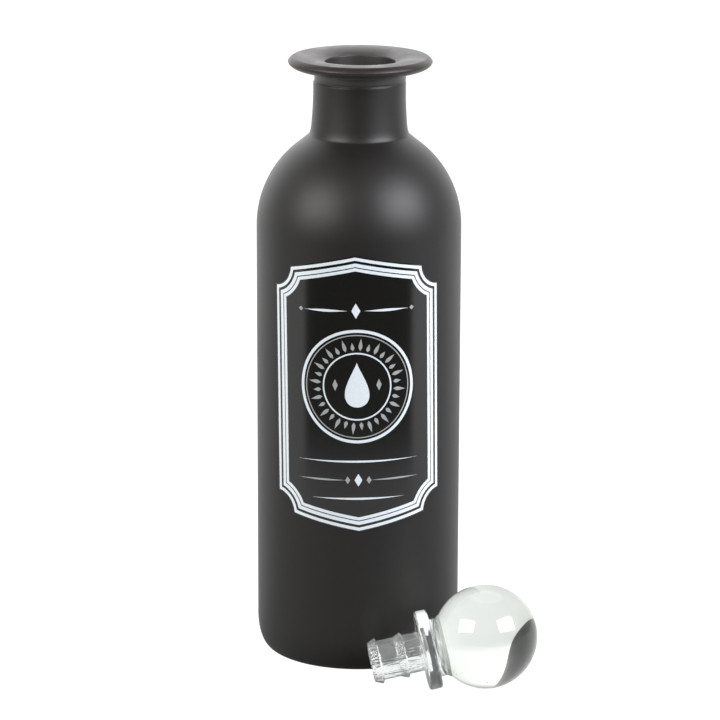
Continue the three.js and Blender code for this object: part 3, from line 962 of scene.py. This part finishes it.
white_shapes.append(lozenge((0, LOWER_ROW), half_width=1.3 * MM, half_height=2.2 * MM))
white_shapes.append(rule((0, -23.0 * MM), half_length=21.0 * MM, half_width=0.34 * MM))
white_shapes.append(rule((0, -36.0 * MM), half_length=16.0 * MM, half_width=0.34 * MM))
print(len(white_shapes), "white and", len(silver_shapes), "silver shapes")

# %% [markdown]
# The inks
#
# White and silver ink differ only in their colours and gloss, so one function makes both.
# A fine mottle breaks up each colour, and the middle of the label is painted greyer, as painted shade.

# %% Inks
# How wide the painted shade across the middle of the label is, and where it has faded out.
SHADED_MIDDLE_HALF_WIDTH = 6 * MM
SHADED_MIDDLE_FADE_END = 0.42 * LABEL_WIDTH


def ink(name, colour, worn, shaded_middle, roughness):
    """Ink with a fine mottle, and painted greyer in the middle, as painted shade."""
    wire, place, finish = new_material(name)
    mottle = wire.noise(place, scale=700.0, detail=3.0)
    aside = wire.math("ABSOLUTE", wire.node("ShaderNodeSeparateXYZ", None, {0: place}, out="X"), 0.0)
    shade = wire.blend(mottle, colour, worn)
    # Painted shade: the middle of the label is made greyer than its sides.
    shade = wire.blend(wire.step(aside, SHADED_MIDDLE_HALF_WIDTH, SHADED_MIDDLE_FADE_END), shaded_middle, shade)
    return finish(Base_Color=shade, Roughness=roughness + mottle * 0.1,
                  Normal=wire.bump(mottle, distance=0.01 * MM, strength=0.3), IOR=1.5)


# The third colour of each ink is its painted shade for the middle of the label.
white_ink = ink("white_ink", colour=(0.83, 0.9, 0.94, 1), worn=(0.755, 0.82, 0.87, 1),
                shaded_middle=(0.61, 0.67, 0.71, 1), roughness=0.22)
silver_ink = ink("silver_ink", colour=(0.43, 0.45, 0.45, 1), worn=(0.336, 0.353, 0.353, 1),
                 shaded_middle=(0.293, 0.307, 0.307, 1), roughness=0.3)
add_piece("label_print_white", *inked(white_shapes), white_ink, "bottle", "label_film")
add_piece("label_print_silver", *inked(silver_shapes), silver_ink, "bottle", "label_film")

# %% [markdown]
# The stopper
#
# The stopper lies on its side: the ball and the edge of the flange both touch the table.
# Its pieces are turned upright, with the plug's tip at height 0, and are then laid down together.
# The tilt follows from the sizes: it is the angle at which the flange's edge and the ball share a tangent.

# %% Stopper sizes and place
BALL_RADIUS = 17.5 * MM
ADHESIVE_THICKNESS = 0.5 * MM
SEAT_GAP = 0.15 * MM
SHANK_RADIUS = 6.65 * MM
SHANK_LENGTH = 17.45 * MM
SHANK_WALL = 1.6 * MM
SEAT_FLOOR = 1.6 * MM
BARB_RADIUS = 7.85 * MM
BARB_SLOPE_LENGTH = 2.7 * MM
BARB_BACK_LENGTH = 0.6 * MM
BARB_SPACING = 8.8 * MM
FLANGE_OVERLAP = 1.6 * MM
FLANGE_RADIUS = MOUTH_RADIUS + FLANGE_OVERLAP
FLANGE_THICKNESS = 4.4 * MM
FLANGE_EDGE_RADIUS = 0.8 * MM
COLLAR_RADIUS = 9.8 * MM
COLLAR_LENGTH = 2.25 * MM
MOULDED_CORNER = 0.25 * MM
ADHESIVE_BEAD = 0.8 * MM
BEAD_HOLLOW = 0.35
STOPPER_YAW = math.radians(6)
STOPPER_SIDES = 160
STOPPER_ROW = 0.5 * MM

SEAT_RADIUS = BALL_RADIUS + 2 * SEAT_GAP + ADHESIVE_THICKNESS
FLANGE_TOP = SHANK_LENGTH + FLANGE_THICKNESS
COLLAR_TOP = FLANGE_TOP + COLLAR_LENGTH
BALL_HEIGHT = COLLAR_TOP + math.sqrt(SEAT_RADIUS ** 2 - COLLAR_RADIUS ** 2)

ball_low, ball_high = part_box("stopper_ball")
ball_centre = (ball_low + ball_high) / 2
edge_out = FLANGE_RADIUS - FLANGE_EDGE_RADIUS
edge_to_ball = BALL_HEIGHT - SHANK_LENGTH - FLANGE_EDGE_RADIUS
rise = BALL_RADIUS - FLANGE_EDGE_RADIUS
pitch = math.atan2(edge_to_ball, edge_out) - math.acos(rise / math.hypot(edge_out, edge_to_ball))
stopper_way = Vector((math.cos(pitch) * math.cos(STOPPER_YAW), math.cos(pitch) * math.sin(STOPPER_YAW),
                      math.sin(pitch)))
stopper_turn = np.array(Vector((0, 0, 1)).rotation_difference(stopper_way).to_matrix())
print("stopper lies", round(math.degrees(pitch), 2), "degrees up, ball at",
      [round(v / MM, 1) for v in ball_centre])


def laid_down(vertices):
    """Upright points, turned so that the axis lies along the stopper's way and the ball is in place."""
    return (vertices - [0, 0, BALL_HEIGHT]) @ stopper_turn.T + np.array(ball_centre)


# %% [markdown]
# The clear plug
#
# The plug is moulded in clear plastic: a hollow shank that is open at its tip, two barbs to hold it in the
# mouth, a flange that rests on the lip and a collar with a round seat for the ball.
# Clear pieces show every edge twice, so each corner gets the small radius that a mould leaves.
# The plastic is a little hazy, and it has streaks along the shank where it flowed in the mould.


# %% Plug
def barb(start):
    """A slope for pushing in, then a steep back that grips."""
    peak = start + BARB_SLOPE_LENGTH
    return [(SHANK_RADIUS, start), (BARB_RADIUS, peak), (SHANK_RADIUS, peak + BARB_BACK_LENGTH)]


def plug_profile():
    """From the end of the bore down to the tip, up over barbs, flange and collar, and into the seat."""
    core = SHANK_RADIUS - SHANK_WALL
    core_end = BALL_HEIGHT - SEAT_RADIUS - SEAT_FLOOR
    seat = (0, BALL_HEIGHT)
    rim = bearing(seat, (COLLAR_RADIUS, COLLAR_TOP))
    edge = FLANGE_EDGE_RADIUS
    corners = [(0, core_end), (core, core_end), (core, 0)] + barb(0) + barb(BARB_SPACING)
    shank = softened(corners + [(SHANK_RADIUS, SHANK_LENGTH), (edge_out, SHANK_LENGTH)], MOULDED_CORNER)
    seat_arc = arc(seat, SEAT_RADIUS, rim, -90, 30)
    collar = softened([(edge_out, FLANGE_TOP), (COLLAR_RADIUS, FLANGE_TOP), seat_arc[0], seat_arc[2]],
                      MOULDED_CORNER)
    return np.concatenate([
        shank[:-1],
        arc((edge_out, SHANK_LENGTH + edge), edge, -90, 0, 8),
        arc((edge_out, FLANGE_TOP - edge), edge, 0, 90, 8),
        collar[1:],
        seat_arc[3:-1],
        [(0, BALL_HEIGHT - SEAT_RADIUS)],
    ])


# %% Clear plastic
STREAK_SQUEEZE = 0.12
STREAK_FADE = 1 * MM


def clear_plastic():
    """Clear but hazy, with streaks along the shank: the noise reads a place whose part along the axis is
    STREAK_SQUEEZE times as long."""
    wire, place, finish = new_material("clear_plastic")
    along = wire.node("ShaderNodeVectorMath", {"operation": "DOT_PRODUCT"}, {0: place, 1: stopper_way},
                      out="Value")
    slide = wire.node("ShaderNodeVectorMath", {"operation": "SCALE"}, {0: stopper_way, "Scale": along})
    aside = wire.node("ShaderNodeVectorMath", {"operation": "SUBTRACT"}, {0: place, 1: slide})
    streak_way = wire.node("ShaderNodeVectorMath", {"operation": "MULTIPLY_ADD"},
                           {0: slide, 1: (STREAK_SQUEEZE, STREAK_SQUEEZE, STREAK_SQUEEZE), 2: aside})
    flange = stopper_way.dot(ball_centre) - BALL_HEIGHT + SHANK_LENGTH
    shank = 1.0 - wire.step(along, flange - STREAK_FADE, flange)
    streaks = wire.noise(streak_way, scale=900.0) * shank
    flow = wire.noise(place, scale=260.0)
    wavy = wire.bump(flow, distance=0.1 * MM, strength=0.8)
    return finish(Base_Color=(0.96, 0.98, 0.97, 1), Roughness=0.01 + flow * 0.03 + streaks * 0.06,
                  Normal=wire.bump(streaks, distance=0.28 * MM, normal=wavy),
                  Transmission_Weight=0.94, IOR=1.49)


plug_vertices, plug_faces = lathe(spaced(plug_profile(), STOPPER_ROW), STOPPER_SIDES)
add_piece("clear_plug", laid_down(plug_vertices), plug_faces, clear_plastic(), "stopper", "stopper_plastic",
          "stopper_plug")

# %% [markdown]
# The adhesive
#
# The ball is glued into the seat. The cured film is a shell half a millimetre thick, with a bead at the rim
# where it was squeezed out. It could be cut from two balls, but a profile of its own stays a clean, closed
# skin.


# %% Adhesive film
def adhesive_profile():
    """A shell under the ball, from the axis out to the collar's rim, over the bead that was squeezed out
    there and back along the ball."""
    centre = (0, BALL_HEIGHT)
    inner = BALL_RADIUS + SEAT_GAP
    outer = inner + ADHESIVE_THICKNESS
    rim = -math.degrees(math.acos(COLLAR_RADIUS / outer))
    bead = -math.degrees(math.acos((COLLAR_RADIUS + ADHESIVE_BEAD) / inner))
    below = arc(centre, outer, -90, rim, 40)
    above = arc(centre, inner, bead, -90, 44)
    below[0, 0] = 0
    above[-1, 0] = 0
    hollow_corner = (COLLAR_RADIUS + BEAD_HOLLOW * ADHESIVE_BEAD, above[0, 1] - ADHESIVE_BEAD)
    hollow = softened([below[-1], hollow_corner, above[0]], ADHESIVE_BEAD, 8)
    return np.concatenate([below, hollow[1:-1], above])


def cured_adhesive():
    """A clear glue that is a little cloudy and pale green."""
    wire, place, finish = new_material("cured_adhesive")
    cloudy = wire.noise(place, scale=300.0)
    colour = wire.blend(cloudy, (0.96, 1.0, 0.93, 1), (0.91, 0.98, 0.88, 1))
    return finish(Base_Color=colour, Roughness=0.15 + cloudy * 0.1, Transmission_Weight=0.7, IOR=1.5)


adhesive_vertices, adhesive_faces = lathe(adhesive_profile(), STOPPER_SIDES)
add_piece("adhesive_film", laid_down(adhesive_vertices), adhesive_faces, cured_adhesive(), "stopper",
          "adhesive", "ball_adhesive")

# %% [markdown]
# The glass ball
#
# The ball is solid glass with a faint green tint and a few tiny bubbles. Blender's own sphere would do, but
# the lathe is there already.
# A bubble is a hole in the glass, so its faces point into it, away from the glass.

# %% Ball
BALL_ROWS = 96
BALL_SIDES = 192
BUBBLE_ROWS = 12
BUBBLE_SIDES = 24
BUBBLES = [((7.0, -13.0, -7.0), 0.3), ((-9.3, -8.2, -9.6), 0.26), ((0.4, -9.5, -11.3), 0.2)]


def half_circle(radius, rows):
    """The profile of a ball, radius * (cos t, sin t), from its lowest to its highest point."""
    profile = arc((0, 0), radius, -90, 90, rows)
    profile[[0, -1], 0] = 0
    return profile


def tinted_glass():
    """Smooth clear glass with a slight green tint."""
    _, _, finish = new_material("tinted_glass")
    return finish(Base_Color=(0.945, 0.985, 0.935, 1), Roughness=0.0, Transmission_Weight=1.0, IOR=1.52)


ball_vertices, ball_faces = lathe(half_circle(BALL_RADIUS, BALL_ROWS), BALL_SIDES)
for place, radius in BUBBLES:
    from_the_top = half_circle(radius * MM, BUBBLE_ROWS)[::-1]
    bubble_vertices, bubble_faces = lathe(from_the_top, BUBBLE_SIDES, len(ball_vertices))
    ball_vertices = np.concatenate([ball_vertices, bubble_vertices + np.array(place) * MM])
    ball_faces += bubble_faces
add_piece("glass_ball", ball_vertices + np.array(ball_centre), ball_faces, tinted_glass(), "stopper",
          "stopper_glass", "stopper_ball")
